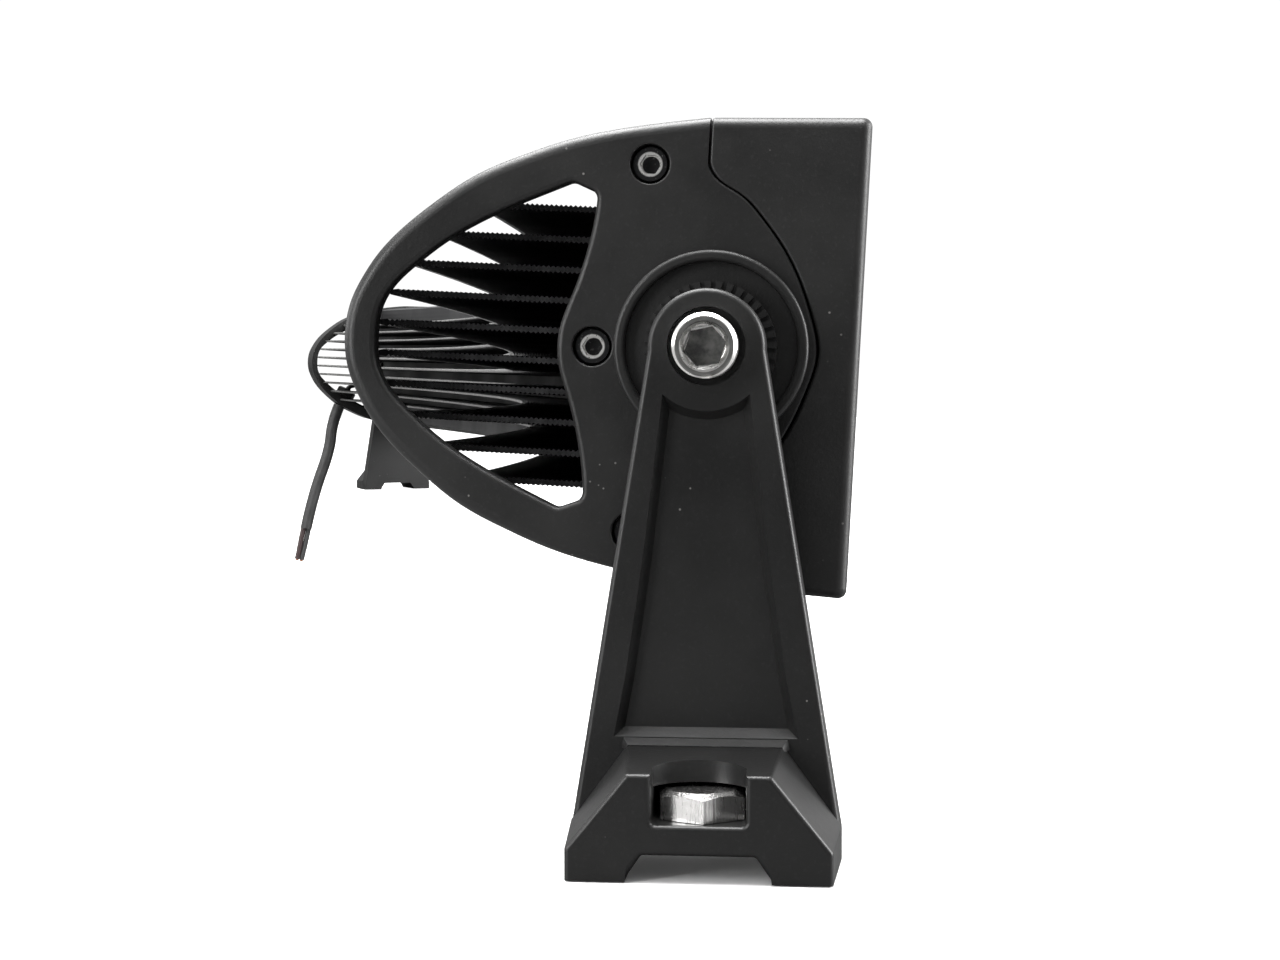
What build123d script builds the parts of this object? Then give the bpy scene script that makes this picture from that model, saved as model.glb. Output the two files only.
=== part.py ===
from build123d import *
import os
from math import sin, cos, tan, radians, degrees, pi, hypot, atan2, acos

os.makedirs("parts", exist_ok=True)

# ---------------------------------------------------------------- dimensions
# Row frame: X along the chord of the bow, the light shines towards -Y, +Z up,
# z = 0 is the plane the two feet are bolted to.
CHORD = 1070.0            # between the two pivot points, on the end faces
THETA = 14.5              # half of the bow's angle, degrees
TILT = 3.0                # nose-down tilt of the lamp in its brackets, degrees
PIVOT_H = 82.0            # pivot height over the mounting plane
PIVOT_B = 0.7             # pivot above the lamp's own middle plane
FOOT_BOLT_S = 23.5        # foot bolt axis, outboard of the lamp's end face

FRONT_A = 24.5            # front edge of the lamp, ahead of the pivot
HALF_H = 39.8             # half height at the front
END_T = 10.0              # thickness of the end frame's web and the front cover
RING_T = 12.6             # depth of the vented ring round the fins
PLATE_T = 2.0             # end plate that closes the light chamber
GASKET_T = 1.0
BAR_END = 13.6            # the extrusion stops this far inboard of the end face

FIN_T = 1.3
FIN_PITCH = 5.27
FIN_INSET = 2.9           # fins stay this far inside the D outline
WALL_IN = 32.8            # inner half height of the light chamber
BASE_A0, BASE_A1 = -20.0, -15.5   # base wall that carries the light board

LED_COLS = 40
LED_PITCH = 25.6
LED_ROW = 17.5
LENS_T = 3.0

BOSS_R = 16.1
TOOTH_R = 10.9
TOOTH_S = 4.0
LEG_S0, LEG_S1 = 6.0, 14.0        # inner and outer face of the bracket leg
FOOT_S1 = 32.0
LEG_TOP_R = 9.4
LEG_FLARE = 0.16
BOLT_R = 3.0              # M6 pivot bolt
BOLT_HEAD_R = 5.2
FOOT_BOLT_R = 4.0         # M8 foot bolt
FOOT_HOLE_R = 4.25
CABLE_D = 7.2
CORE_D = 3.3

TH = radians(THETA)
R_BOW = CHORD / 2 / sin(TH)                 # radius of the bow at the pivot line
Y_PIVOT = -FOOT_BOLT_S * sin(TH)            # puts the foot bolts on y = 0
YC = R_BOW * cos(TH)                        # bow centre in the lamp's frame
BOW = Axis((0, YC, 0), (0, 0, 1))
LAMP = Location((0, Y_PIVOT, PIVOT_H), (TILT, 0, 0)) * Location((0, 0, -PIVOT_B))

# D outline of the lamp's end, half of it: (ahead of the pivot, half height)
D_OUT = [(-62.2, 0), (-61.3, 6), (-59.5, 10), (-57.3, 13.6), (-53.5, 18), (-48, 22.8),
         (-40.6, 28.0), (-33, 31.5), (-27.0, 33.8), (-15, 36.8), (-2.2, 38.8)]
VENT = [(-56.7, 0), (-56.2, 4.6), (-54.3, 8.4), (-50, 12.8), (-46.4, 15.8), (-43.2, 18),
        (-35.2, 22.4), (-31.5, 24.1), (-24.5, 27.2)]
VENT_BACK = [(-58.7, 0), (-58.2, 5.0), (-56.1, 9.3), (-51.4, 14.3), (-47.7, 17.4),
             (-44.4, 19.7), (-36.1, 24.2), (-32.3, 25.95), (-25.3, 29.1)]
LIP_T = 3.2               # the vent's lip; the ring is wider behind it
VENT_WEB = [(-20.3, 25.5), (-21.6, 16), (-23.6, 9.0), (-25.4, 3.6), (-25.8, 0)]
SEAM = [(-2.2, 30.6), (-0.6, 27.9), (3.5, 25.4), (7.0, 22.0), (10.7, 17.3), (13.9, 11.6),
        (16.2, 5.6), (17.4, 0)]


def mirrored(points):
    return points + [(a, -b) for a, b in reversed(points[:-1])]


def a_out(b):
    """Where the D outline lies at the height b."""
    pts = D_OUT
    for (a0, b0), (a1, b1) in zip(pts, pts[1:]):
        if b0 <= abs(b) <= b1:
            t = (abs(b) - b0) / (b1 - b0)
            return a0 + t * (a1 - a0)
    return pts[-1][0]


def section(phi, a=0.0):
    """Plane across the bow at the angle phi: x ahead, y up."""
    r = R_BOW + a
    return Plane(origin=(r * sin(phi), YC - r * cos(phi), 0),
                 x_dir=(sin(phi), -cos(phi), 0), z_dir=(-cos(phi), -sin(phi), 0))


def end_plane(s=0.0):
    """Left end face, s outboard: x ahead, y up, z outboard."""
    return section(-TH).offset(s)


def ahead(e):
    """How far ahead of the pivot an edge's middle lies."""
    pl = end_plane()
    return (e @ 0.5 - pl.origin).dot(pl.x_dir)


def in_end_plane(edges, s):
    """The edges that lie flat, s outboard of the left end face."""
    pl = end_plane()
    return edges.filter_by(lambda e: all(
        abs((e @ t - pl.origin).dot(pl.z_dir) - s) < 0.03 for t in (0, 0.5, 1)))


def end_angle(s):
    """Angle at which the bow reaches s inboard of the end face."""
    return TH - s / R_BOW


def sweep_angle(s):
    return degrees(2 * end_angle(s))


# ================================================================ the extrusion
with BuildPart() as heat_sink:
    with BuildSketch(section(-end_angle(BAR_END))):
        # base wall and the two chamber walls
        with BuildLine():
            Polyline((BASE_A0, 34.6), (-13, 36.2), (0, 37.9), (13.5, 38.6), (13.5, WALL_IN),
                     (BASE_A1, WALL_IN), (BASE_A1, -WALL_IN), (13.5, -WALL_IN), (13.5, -38.6),
                     (0, -37.9), (-13, -36.2), (BASE_A0, -34.6), close=True)
        make_face()
        # fins, shorter towards the top and the bottom
        for i in range(5):
            b = (i + 0.5) * FIN_PITCH
            a1 = a_out(b + FIN_T / 2) + FIN_INSET
            for sgn in (1, -1):
                with Locations(((a1 + BASE_A0 + 0.5) / 2, sgn * b)):
                    Rectangle(BASE_A0 + 0.5 - a1, FIN_T)
        # screw ports
        with Locations((-19.9, 0), (-11.8, 30.6), (-11.8, -30.6)):
            Circle(3.6)
    revolve(axis=BOW, revolution_arc=sweep_angle(BAR_END))
    # ports for the end screws, both ends
    for side in (1, -1):
        ph = -TH * side
        pl = end_plane() if side == 1 else Plane(
            origin=(R_BOW * sin(TH), 0, 0), x_dir=(sin(TH), -cos(TH), 0),
            z_dir=(-cos(TH), -sin(TH), 0))
        with BuildSketch(pl):
            with Locations((-19.9, 0), (-11.8, 30.6), (-11.8, -30.6)):
                Circle(1.7)
        extrude(amount=-32 if side == 1 else 32, mode=Mode.SUBTRACT)
    # ports for the bezel screws, from the front
    for k in range(11):
        ph = (k - 5) * 100.0 / R_BOW
        n = Vector(sin(ph), -cos(ph), 0)
        o = Vector(0, YC, 0) + n * (R_BOW + 13.6)
        with BuildSketch(Plane(origin=o, x_dir=(cos(ph), sin(ph), 0), z_dir=n)):
            with Locations((0, 36.0), (0, -36.0)):
                Circle(1.6)
        extrude(amount=-11, mode=Mode.SUBTRACT)

# ---------------------------------------------------------------- front bezel
with BuildPart() as bezel:
    with BuildSketch(section(-end_angle(BAR_END))):
        with Locations(((13.8 + FRONT_A) / 2, 0)):
            RectangleRounded(FRONT_A - 13.8, 2 * HALF_H - 0.4, 1.6)
    revolve(axis=BOW, revolution_arc=sweep_angle(BAR_END))
    with BuildSketch(section(-end_angle(25))):
        with Locations((22, 0)):
            Rectangle(20, 2 * 31.8)
    revolve(axis=BOW, revolution_arc=sweep_angle(25), mode=Mode.SUBTRACT)
    with BuildSketch(section(-end_angle(20))):
        with Locations(((12 + 20.9) / 2, 0)):
            Rectangle(8.9, 2 * 34.4)
    revolve(axis=BOW, revolution_arc=sweep_angle(20), mode=Mode.SUBTRACT)
    for k in range(11):
        ph = (k - 5) * 100.0 / R_BOW
        n = Vector(sin(ph), -cos(ph), 0)
        o = Vector(0, YC, 0) + n * (R_BOW + FRONT_A)
        with BuildSketch(Plane(origin=o, x_dir=(cos(ph), sin(ph), 0), z_dir=n)):
            with Locations((0, 36.0), (0, -36.0)):
                Circle(1.7)
        extrude(amount=-12, mode=Mode.SUBTRACT)
        with BuildSketch(Plane(origin=o, x_dir=(cos(ph), sin(ph), 0), z_dir=n)):
            with Locations((0, 36.0), (0, -36.0)):
                Circle(3.0)
        extrude(amount=-3.2, mode=Mode.SUBTRACT)

with BuildPart() as bezel_screws:
    for k in range(11):
        ph = (k - 5) * 100.0 / R_BOW
        n = Vector(sin(ph), -cos(ph), 0)
        o = Vector(0, YC, 0) + n * (R_BOW + FRONT_A - 3.15)
        with BuildSketch(Plane(origin=o, x_dir=(cos(ph), sin(ph), 0), z_dir=n)):
            with Locations((0, 36.0), (0, -36.0)):
                Circle(2.75)
        extrude(amount=2.9)
        with BuildSketch(Plane(origin=o, x_dir=(cos(ph), sin(ph), 0), z_dir=n)):
            with Locations((0, 36.0), (0, -36.0)):
                Circle(1.5)
        extrude(amount=-16)
        with BuildSketch(Plane(origin=o + n * 2.9, x_dir=(cos(ph), sin(ph), 0), z_dir=n)):
            with Locations((0, 36.0), (0, -36.0)):
                RegularPolygon(1.25, 6, major_radius=False)
        extrude(amount=-1.8, mode=Mode.SUBTRACT)

# ---------------------------------------------------------------- lens and seal
with BuildPart() as lens:
    with BuildSketch(section(-end_angle(20.4))):
        with Locations(((17.7 + 20.7) / 2, 0)):
            Rectangle(LENS_T, 2 * 34.1)
    revolve(axis=BOW, revolution_arc=sweep_angle(20.4))

with BuildPart() as lens_gasket:
    with BuildSketch(section(-end_angle(20.4))):
        with Locations(((14.2 + 17.55) / 2, 0)):
            Rectangle(17.55 - 14.2, 2 * 34.1)
    revolve(axis=BOW, revolution_arc=sweep_angle(20.4))
    with BuildSketch(section(-end_angle(24.0))):
        with Locations((16, 0)):
            Rectangle(10, 2 * 32.2)
    revolve(axis=BOW, revolution_arc=sweep_angle(24.0), mode=Mode.SUBTRACT)

# ---------------------------------------------------------------- light board
with BuildPart() as thermal_pad:
    with BuildSketch(section(-end_angle(18))):
        with Locations((-15.2, 0)):
            Rectangle(0.4, 2 * 26.4)
    revolve(axis=BOW, revolution_arc=sweep_angle(18))

with BuildPart() as led_board:
    with BuildSketch(section(-end_angle(18))):
        with Locations((-14.1, 0)):
            Rectangle(1.6, 2 * 26.4)
    revolve(axis=BOW, revolution_arc=sweep_angle(18))

with BuildPart() as led_emitters:
    for m in range(10):
        ph = (m - 4.5) * 4 * LED_PITCH / R_BOW
        n = Vector(sin(ph), -cos(ph), 0)
        t = Vector(cos(ph), sin(ph), 0)
        o = Vector(0, YC, 0) + n * (R_BOW - 13.1)
        with BuildSketch(Plane(origin=o, x_dir=t, z_dir=n)):
            with GridLocations(LED_PITCH, 2 * LED_ROW, 4, 2):
                Rectangle(3.5, 3.5)
        extrude(amount=0.9)
        with BuildSketch(Plane(origin=o + n * 0.9, x_dir=t, z_dir=n)):
            with GridLocations(LED_PITCH, 2 * LED_ROW, 4, 2):
                Circle(1.4)
        extrude(amount=0.9, taper=25)

# one reflector moulding holds eight cups
with BuildPart() as reflector_one:
    with BuildSketch(Plane((0, 0, 12))):
        Rectangle(4 * LED_PITCH - 0.6, 2 * 31.4)
    extrude(amount=2)
    for x in (-1.5, -0.5, 0.5, 1.5):
        for y in (-1, 1):
            c = Plane((x * LED_PITCH, y * LED_ROW, 12.5), x_dir=(1, 0, 0), z_dir=(0, 0, -1))
            with BuildSketch(c):
                Circle(12.5)
            extrude(amount=23.2, taper=17.0)
    for x in (-1.5, -0.5, 0.5, 1.5):
        for y in (-1, 1):
            c = Plane((x * LED_PITCH, y * LED_ROW, 14.0), x_dir=(1, 0, 0), z_dir=(0, 0, -1))
            with BuildSketch(c):
                Circle(11.9)
            extrude(amount=26, taper=17.0, mode=Mode.SUBTRACT)

with BuildPart() as reflectors:
    for m in range(10):
        ph = (m - 4.5) * 4 * LED_PITCH / R_BOW
        n = Vector(sin(ph), -cos(ph), 0)
        t = Vector(cos(ph), sin(ph), 0)
        o = Vector(0, YC, 0) + n * R_BOW
        add(Location(Plane(origin=o, x_dir=t, z_dir=n)) * reflector_one.part)

# ---------------------------------------------------------------- driver board
DRV_PH = end_angle(150)
n = Vector(sin(DRV_PH), -cos(DRV_PH), 0)
drv = Plane(origin=Vector(0, YC, 0) + n * (R_BOW - 1.5) + Vector(0, 0, -32.2),
            x_dir=(cos(DRV_PH), sin(DRV_PH), 0), z_dir=(0, 0, 1))
with BuildPart() as driver_board:
    with BuildSketch(drv):
        Rectangle(150, 11)
    extrude(amount=1.6)
    with BuildSketch(drv.offset(1.6)):
        with Locations((-48, 0), (-12, 0), (26, 0)):
            Circle(4.0)
        with Locations((-32, -1), (6, 1), (48, 0)):
            Rectangle(11, 7)
    extrude(amount=2.6)

# ================================================================ lamp ends
with BuildPart() as left_end_frame:
    # vented ring and web
    with BuildSketch(end_plane(-RING_T)):
        with BuildLine():
            Spline(*[(a, b) for a, b in reversed(D_OUT[1:])], (D_OUT[0][0], 0),
                         *[(a, -b) for a, b in D_OUT[1:]])
            Line((-2.2, 38.8), (SEAM[0][0], SEAM[0][1] + PIVOT_B))
            Line((-2.2, -38.8), (SEAM[0][0], -SEAM[0][1] + PIVOT_B))
            Spline(*[(a, b + PIVOT_B) for a, b in mirrored(SEAM)])
        make_face()
    extrude(amount=RING_T)
    # outer rim is rounded over
    fillet(left_end_frame.faces().sort_by(Axis(end_plane().origin, end_plane().z_dir))[-1]
           .edges().filter_by(GeomType.BSPLINE).sort_by(Axis(end_plane().origin, end_plane().x_dir))[0],
           radius=2.0)
    # room for the end plate and its gasket behind the web
    with BuildSketch(end_plane(-RING_T - 1)):
        Rectangle(2 * 21.4, 2 * 34.0)
        with Locations((-19.9, 0)):
            Circle(3.4)
    extrude(amount=RING_T + 1 - END_T, mode=Mode.SUBTRACT)
    # vent opening
    with BuildSketch(end_plane(1)) as vent_sk:
        with BuildLine():
            Spline(*[(a, b) for a, b in reversed(VENT[1:])], (VENT[0][0], 0),
                   *[(a, -b) for a, b in VENT[1:]])
            Line(VENT[-1], VENT_WEB[0])
            Line((VENT[-1][0], -VENT[-1][1]), (VENT_WEB[0][0], -VENT_WEB[0][1]))
            Spline(*mirrored(VENT_WEB))
        make_face()
        fillet(vent_sk.vertices(), radius=1.6)
    extrude(amount=-RING_T - 3, mode=Mode.SUBTRACT)
    # the ring is wider behind the lip
    with BuildSketch(end_plane(-LIP_T)) as back_sk:
        with BuildLine():
            Spline(*[(a, b) for a, b in reversed(VENT_BACK[1:])], (VENT_BACK[0][0], 0),
                   *[(a, -b) for a, b in VENT_BACK[1:]])
            Line(VENT_BACK[-1], VENT_WEB[0])
            Line((VENT_BACK[-1][0], -VENT_BACK[-1][1]), (VENT_WEB[0][0], -VENT_WEB[0][1]))
            Spline(*mirrored(VENT_WEB))
        make_face()
        fillet(back_sk.vertices(), radius=1.6)
    extrude(amount=-RING_T, mode=Mode.SUBTRACT)
    # pivot boss: raised rim, sunk ring, toothed ring
    with BuildSketch(end_plane(-2)):
        with Locations((0, PIVOT_B)):
            Circle(BOSS_R)
    extrude(amount=4.6)
    with BuildSketch(end_plane(2.6)):
        with Locations((0, PIVOT_B)):
            Circle(BOSS_R - 1.9)
            Circle(TOOTH_R, mode=Mode.SUBTRACT)
    extrude(amount=-1.9, mode=Mode.SUBTRACT)
    with BuildSketch(end_plane(2.0)):
        with Locations((0, PIVOT_B)):
            Circle(TOOTH_R)
    extrude(amount=TOOTH_S - 0.8 - 2.0)
    with BuildSketch(end_plane(TOOTH_S - 0.9)):
        with Locations((0, PIVOT_B)):
            Circle(TOOTH_R)
            Circle(TOOTH_R - 3.2, mode=Mode.SUBTRACT)
            with PolarLocations(0, 36):
                with Locations((TOOTH_R - 1.6, 0)):
                    Rectangle(3.6, 0.75, mode=Mode.SUBTRACT)
    extrude(amount=0.9)
    # threaded hole for the pivot bolt
    with BuildSketch(end_plane(5)):
        with Locations((0, PIVOT_B)):
            Circle(BOLT_R + 0.05)
    extrude(amount=-5 - END_T - 3, mode=Mode.SUBTRACT)
    # counterbored holes for the three end screws
    with BuildSketch(end_plane(1)):
        with Locations((-19.9, 0), (-11.8, 30.6), (-11.8, -30.6)):
            Circle(1.7)
    extrude(amount=-RING_T - 3, mode=Mode.SUBTRACT)
    with BuildSketch(end_plane(1)):
        with Locations((-19.9, 0), (-11.8, 30.6), (-11.8, -30.6)):
            Circle(3.3)
    extrude(amount=-5.0, mode=Mode.SUBTRACT)
    # the boss rim, the vent's lip, the seam and the counterbores are rounded over
    fillet(in_end_plane(left_end_frame.edges(), 2.6), radius=0.7)
    fillet(in_end_plane(left_end_frame.edges(), 0).filter_by(
        lambda e: -57.5 < ahead(e) < -20.4 and not (
            e.geom_type == GeomType.CIRCLE and abs(e.radius - 3.3) < 0.01)), radius=0.9)
    fillet(in_end_plane(left_end_frame.edges(), 0).filter_by(
        lambda e: e.geom_type == GeomType.BSPLINE and ahead(e) > 10), radius=0.4)
    fillet(in_end_plane(left_end_frame.edges(), 0).filter_by(
        lambda e: e.geom_type == GeomType.CIRCLE and abs(e.radius - 3.3) < 0.01), radius=0.3)

with BuildPart() as left_front_cover:
    with BuildSketch(end_plane(-RING_T - 0.6)) as cov:
        with BuildLine():
            Spline(*[(a + 0.35, b + PIVOT_B) for a, b in mirrored(SEAM)])
            Polyline((-1.85, SEAM[0][1] + PIVOT_B), (-1.85, 38.8), (FRONT_A, HALF_H),
                     (FRONT_A, -HALF_H), (-1.85, -38.8), (-1.85, -SEAM[0][1] + PIVOT_B))
        make_face()
        fillet(cov.vertices().sort_by(Axis.X)[-2:], radius=1.5)
    extrude(amount=RING_T + 0.6)
    f = left_front_cover.faces().sort_by(Axis(end_plane().origin, end_plane().z_dir))[-1]
    fillet([e for e in f.edges() if e.center().Z > 39.0 or e.center().Z < -39.0 or
            (e @ 0.5 - end_plane().origin).dot(end_plane().x_dir) > 23.0], radius=1.9)
    fillet(in_end_plane(left_front_cover.edges(), 0).filter_by(lambda e: ahead(e) < 20),
           radius=0.4)
    # step that takes the end plate and the gasket
    with BuildSketch(end_plane(-RING_T - 1)):
        Rectangle(2 * 22.7, 2 * 34.0)
    extrude(amount=RING_T + 1 - END_T, mode=Mode.SUBTRACT)
    # hollow from behind
    with BuildSketch(end_plane(-END_T - 0.1)):
        with Locations((19.9, 0)):
            Rectangle(3.8, 2 * 36.0)
        with Locations((10.4, 33.0), (10.4, -33.0)):
            Rectangle(18.0, 6.0)
    extrude(amount=END_T - 2.9, mode=Mode.SUBTRACT)
    # holes for the cover screws
    with BuildSketch(end_plane(-END_T - 1)):
        with Locations((11, 26.3), (11, -26.3)):
            Circle(1.5)
    extrude(amount=8.0, mode=Mode.SUBTRACT)

with BuildPart() as left_end_plate:
    with BuildSketch(end_plane(-END_T - 0.1)):
        with Locations((1.2, 0)):
            Rectangle(44.4 - 2.0, 2 * 33.6)
        with Locations((-19.9, 0), (-11.8, 30.6), (-11.8, -30.6)):
            Circle(1.7, mode=Mode.SUBTRACT)
        with Locations((0, PIVOT_B)):
            Circle(BOLT_R + 0.6, mode=Mode.SUBTRACT)
        with Locations((11, 26.3), (11, -26.3)):
            Circle(1.6, mode=Mode.SUBTRACT)
    extrude(amount=-PLATE_T)

with BuildPart() as left_end_gasket:
    with BuildSketch(end_plane(-END_T - PLATE_T - 0.15)):
        with Locations((-1.2, 0)):
            Rectangle(38.4, 2 * 33.6)
        with Locations((-1.2, 0)):
            Rectangle(32.0, 2 * 29.4, mode=Mode.SUBTRACT)
        with Locations((-11.8, 30.6), (-11.8, -30.6)):
            Circle(3.2)
        with Locations((-19.9, 0)):
            Circle(3.0)
        with Locations((-19.9, 0), (-11.8, 30.6), (-11.8, -30.6)):
            Circle(1.7, mode=Mode.SUBTRACT)
    extrude(amount=-GASKET_T)

with BuildPart() as left_end_screws:
    with BuildSketch(end_plane(-3.9)):
        with Locations((-19.9, 0), (-11.8, 30.6), (-11.8, -30.6)):
            Circle(2.8)
    extrude(amount=3.0)
    with BuildSketch(end_plane(-3.9)):
        with Locations((-19.9, 0), (-11.8, 30.6), (-11.8, -30.6)):
            Circle(1.5)
    extrude(amount=-25)
    with BuildSketch(end_plane(-0.9)):
        with Locations((-19.9, 0), (-11.8, 30.6), (-11.8, -30.6)):
            RegularPolygon(1.55, 6, major_radius=False)
    extrude(amount=-1.8, mode=Mode.SUBTRACT)

with BuildPart() as left_cover_screws:
    with BuildSketch(end_plane(-END_T - PLATE_T - 0.2)):
        with Locations((11, 26.3), (11, -26.3)):
            Circle(2.7)
    extrude(amount=-1.15)
    with BuildSketch(end_plane(-END_T - PLATE_T - 0.2)):
        with Locations((11, 26.3), (11, -26.3)):
            Circle(1.4)
    extrude(amount=8.0)

# the bolt's thread ends in the web; its head bears on a spring washer
with BuildPart() as left_pivot_bolt:
    with BuildSketch(end_plane(13.0)):
        with Locations((0, PIVOT_B)):
            Circle(BOLT_HEAD_R)
    extrude(amount=6.0)
    chamfer(left_pivot_bolt.faces().sort_by(Axis(end_plane().origin, end_plane().z_dir))[-1].edges(),
            length=0.55)
    with BuildSketch(end_plane(13.0)):
        with Locations((0, PIVOT_B)):
            Circle(BOLT_R)
    extrude(amount=-22.5)
    with BuildSketch(end_plane(19.0)):
        with Locations((0, PIVOT_B)):
            RegularPolygon(3.0, 6, major_radius=False, rotation=12)
    extrude(amount=-3.6, mode=Mode.SUBTRACT)
    with BuildSketch(end_plane(19.0)):
        with Locations((0, PIVOT_B)):
            Circle(3.9)
    extrude(amount=-0.9, taper=35, mode=Mode.SUBTRACT)

with BuildPart() as left_pivot_washer:
    with BuildSketch(end_plane(11.65)):
        with Locations((0, PIVOT_B)):
            Circle(5.1)
            Circle(BOLT_R + 0.1, mode=Mode.SUBTRACT)
    extrude(amount=1.3)

# ---------------------------------------------------------------- right end
def mirror_part(src):
    with BuildPart() as out:
        mirror(src.part, about=Plane.YZ)
    return out


right_end_frame_m = mirror_part(left_end_frame)
right_front_cover = mirror_part(left_front_cover)
right_end_plate_m = mirror_part(left_end_plate)
right_end_gasket = mirror_part(left_end_gasket)
right_end_screws = mirror_part(left_end_screws)
right_cover_screws = mirror_part(left_cover_screws)
right_pivot_bolt = mirror_part(left_pivot_bolt)
right_pivot_washer = mirror_part(left_pivot_washer)


def rp(a, b, s):
    """Point at the right end: a ahead, b up, s outboard, in the lamp's frame."""
    return Vector(R_BOW * sin(TH) + a * sin(TH) + s * cos(TH),
                  -a * cos(TH) + s * sin(TH), b)


def rd(a, b, s):
    return Vector(a * sin(TH) + s * cos(TH), -a * cos(TH) + s * sin(TH), b)


# the cable leaves through the lower band of the right ring, square to it
GLAND_A, GLAND_B, GLAND_S = -41.3, -27.75, -RING_T / 2
GD = (-0.44, -0.898)                       # outward, square to the band
gland_axis = rd(GD[0], GD[1], 0)
gland_out = Plane(origin=rp(GLAND_A, GLAND_B, GLAND_S), x_dir=rd(0, 0, 1), z_dir=gland_axis)
BAND_T = 6.6

with BuildPart() as right_end_frame:
    add(right_end_frame_m.part)
    with BuildSketch(gland_out.offset(3)):
        Circle(5.1)
    extrude(amount=-16, mode=Mode.SUBTRACT)
    # flat seat for the gland's hexagon
    with BuildSketch(gland_out.offset(-BAND_T - 0.2)):
        Circle(6.6)
    extrude(amount=-7, mode=Mode.SUBTRACT)
    # way for the cores along the web and into the chamber
    ch = Plane(origin=rp(-30, -12, GLAND_S), x_dir=rd(0, 0, 1), z_dir=rd(1, 0, 0))
    with BuildSketch(ch):
        Circle(3.0)
    extrude(amount=25, mode=Mode.SUBTRACT)
    with BuildSketch(Plane(origin=rp(-8, -12, GLAND_S), x_dir=rd(1, 0, 0), z_dir=rd(0, 0, -1))):
        Circle(3.0)
    extrude(amount=10, mode=Mode.SUBTRACT)

with BuildPart() as right_end_plate:
    add(right_end_plate_m.part)
    with BuildSketch(Plane(origin=rp(-8, -12, -9), x_dir=rd(1, 0, 0), z_dir=rd(0, 0, -1))):
        Circle(3.4)
    extrude(amount=6, mode=Mode.SUBTRACT)
    with BuildSketch(Plane(origin=rp(9, -19.4, -9), x_dir=rd(1, 0, 0), z_dir=rd(0, 0, -1))):
        Circle(3.0)
    extrude(amount=6, mode=Mode.SUBTRACT)

with BuildPart() as breather_vent:
    with BuildSketch(Plane(origin=rp(9, -19.4, -END_T - 0.1), x_dir=rd(1, 0, 0), z_dir=rd(0, 0, -1))):
        Circle(2.9)
    extrude(amount=3.0)
    with BuildSketch(Plane(origin=rp(9, -19.4, -END_T - PLATE_T - 0.25), x_dir=rd(1, 0, 0), z_dir=rd(0, 0, -1))):
        Circle(4.2)
    extrude(amount=2.2)
    with BuildSketch(Plane(origin=rp(9, -19.4, -END_T + 0.5), x_dir=rd(1, 0, 0), z_dir=rd(0, 0, -1))):
        Circle(0.9)
    extrude(amount=2.0, mode=Mode.SUBTRACT)

with BuildPart() as lead_grommet:
    with BuildSketch(Plane(origin=rp(-8, -12, -END_T - 0.1), x_dir=rd(1, 0, 0), z_dir=rd(0, 0, -1))):
        Circle(3.3)
    extrude(amount=2.2)
    with BuildSketch(Plane(origin=rp(-8, -12, -END_T - PLATE_T - 0.25), x_dir=rd(1, 0, 0), z_dir=rd(0, 0, -1))):
        Circle(4.8)
    extrude(amount=1.4)
    with BuildSketch(Plane(origin=rp(-8, -12, -END_T + 1), x_dir=rd(1, 0, 0), z_dir=rd(0, 0, -1))):
        with Locations((0, 1.4), (0, -1.4)):
            Circle(1.3)
    extrude(amount=9, mode=Mode.SUBTRACT)

with BuildPart() as cable_gland:
    with BuildSketch(gland_out.offset(-0.4)):
        Circle(5.0)
    extrude(amount=-BAND_T - 0.2)
    with BuildSketch(gland_out.offset(-BAND_T - 0.5)):
        RegularPolygon(5.4, 6, major_radius=False, rotation=30)
    extrude(amount=-4.6)
    chamfer(cable_gland.faces().sort_by(Axis(gland_out.origin, gland_out.z_dir))[0].edges(), length=0.8)
    with BuildSketch(gland_out.offset(1)):
        Circle(CABLE_D / 2 + 0.05)
    extrude(amount=-20, mode=Mode.SUBTRACT)

with BuildPart() as gland_seal:
    with BuildSketch(gland_out.offset(-BAND_T - 1.0)):
        Circle(CABLE_D / 2 - 0.02)
        with Locations((1.5, 0), (-1.5, 0)):
            Circle(1.32, mode=Mode.SUBTRACT)
    extrude(amount=-2.6)

# two cores from the gland through the web to the driver board
CORE_IN = 1.2
gi = (GLAND_A - GD[0] * (BAND_T + 1.0), GLAND_B - GD[1] * (BAND_T + 1.0))

with BuildPart() as inner_leads:
    for ds in (1.5, -1.5):
        db = -1.4 if ds > 0 else 1.4
        p = [rp(gi[0], gi[1], GLAND_S + ds),
             rp(gi[0] - GD[0] * 6.0, gi[1] - GD[1] * 6.0, GLAND_S + ds),
             rp(-27, -12 + db, GLAND_S + ds * 0.6),
             rp(-8, -12 + db, GLAND_S + ds * 0.6),
             rp(-8, -12 + db, -18.5)]
        with BuildLine() as wire:
            FilletPolyline(*p, radius=[2.2, 6.0, 2.2])
        with BuildSketch(Plane(origin=p[0], z_dir=(p[1] - p[0]).normalized())):
            Circle(CORE_IN)
        sweep(path=wire.line)

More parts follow.
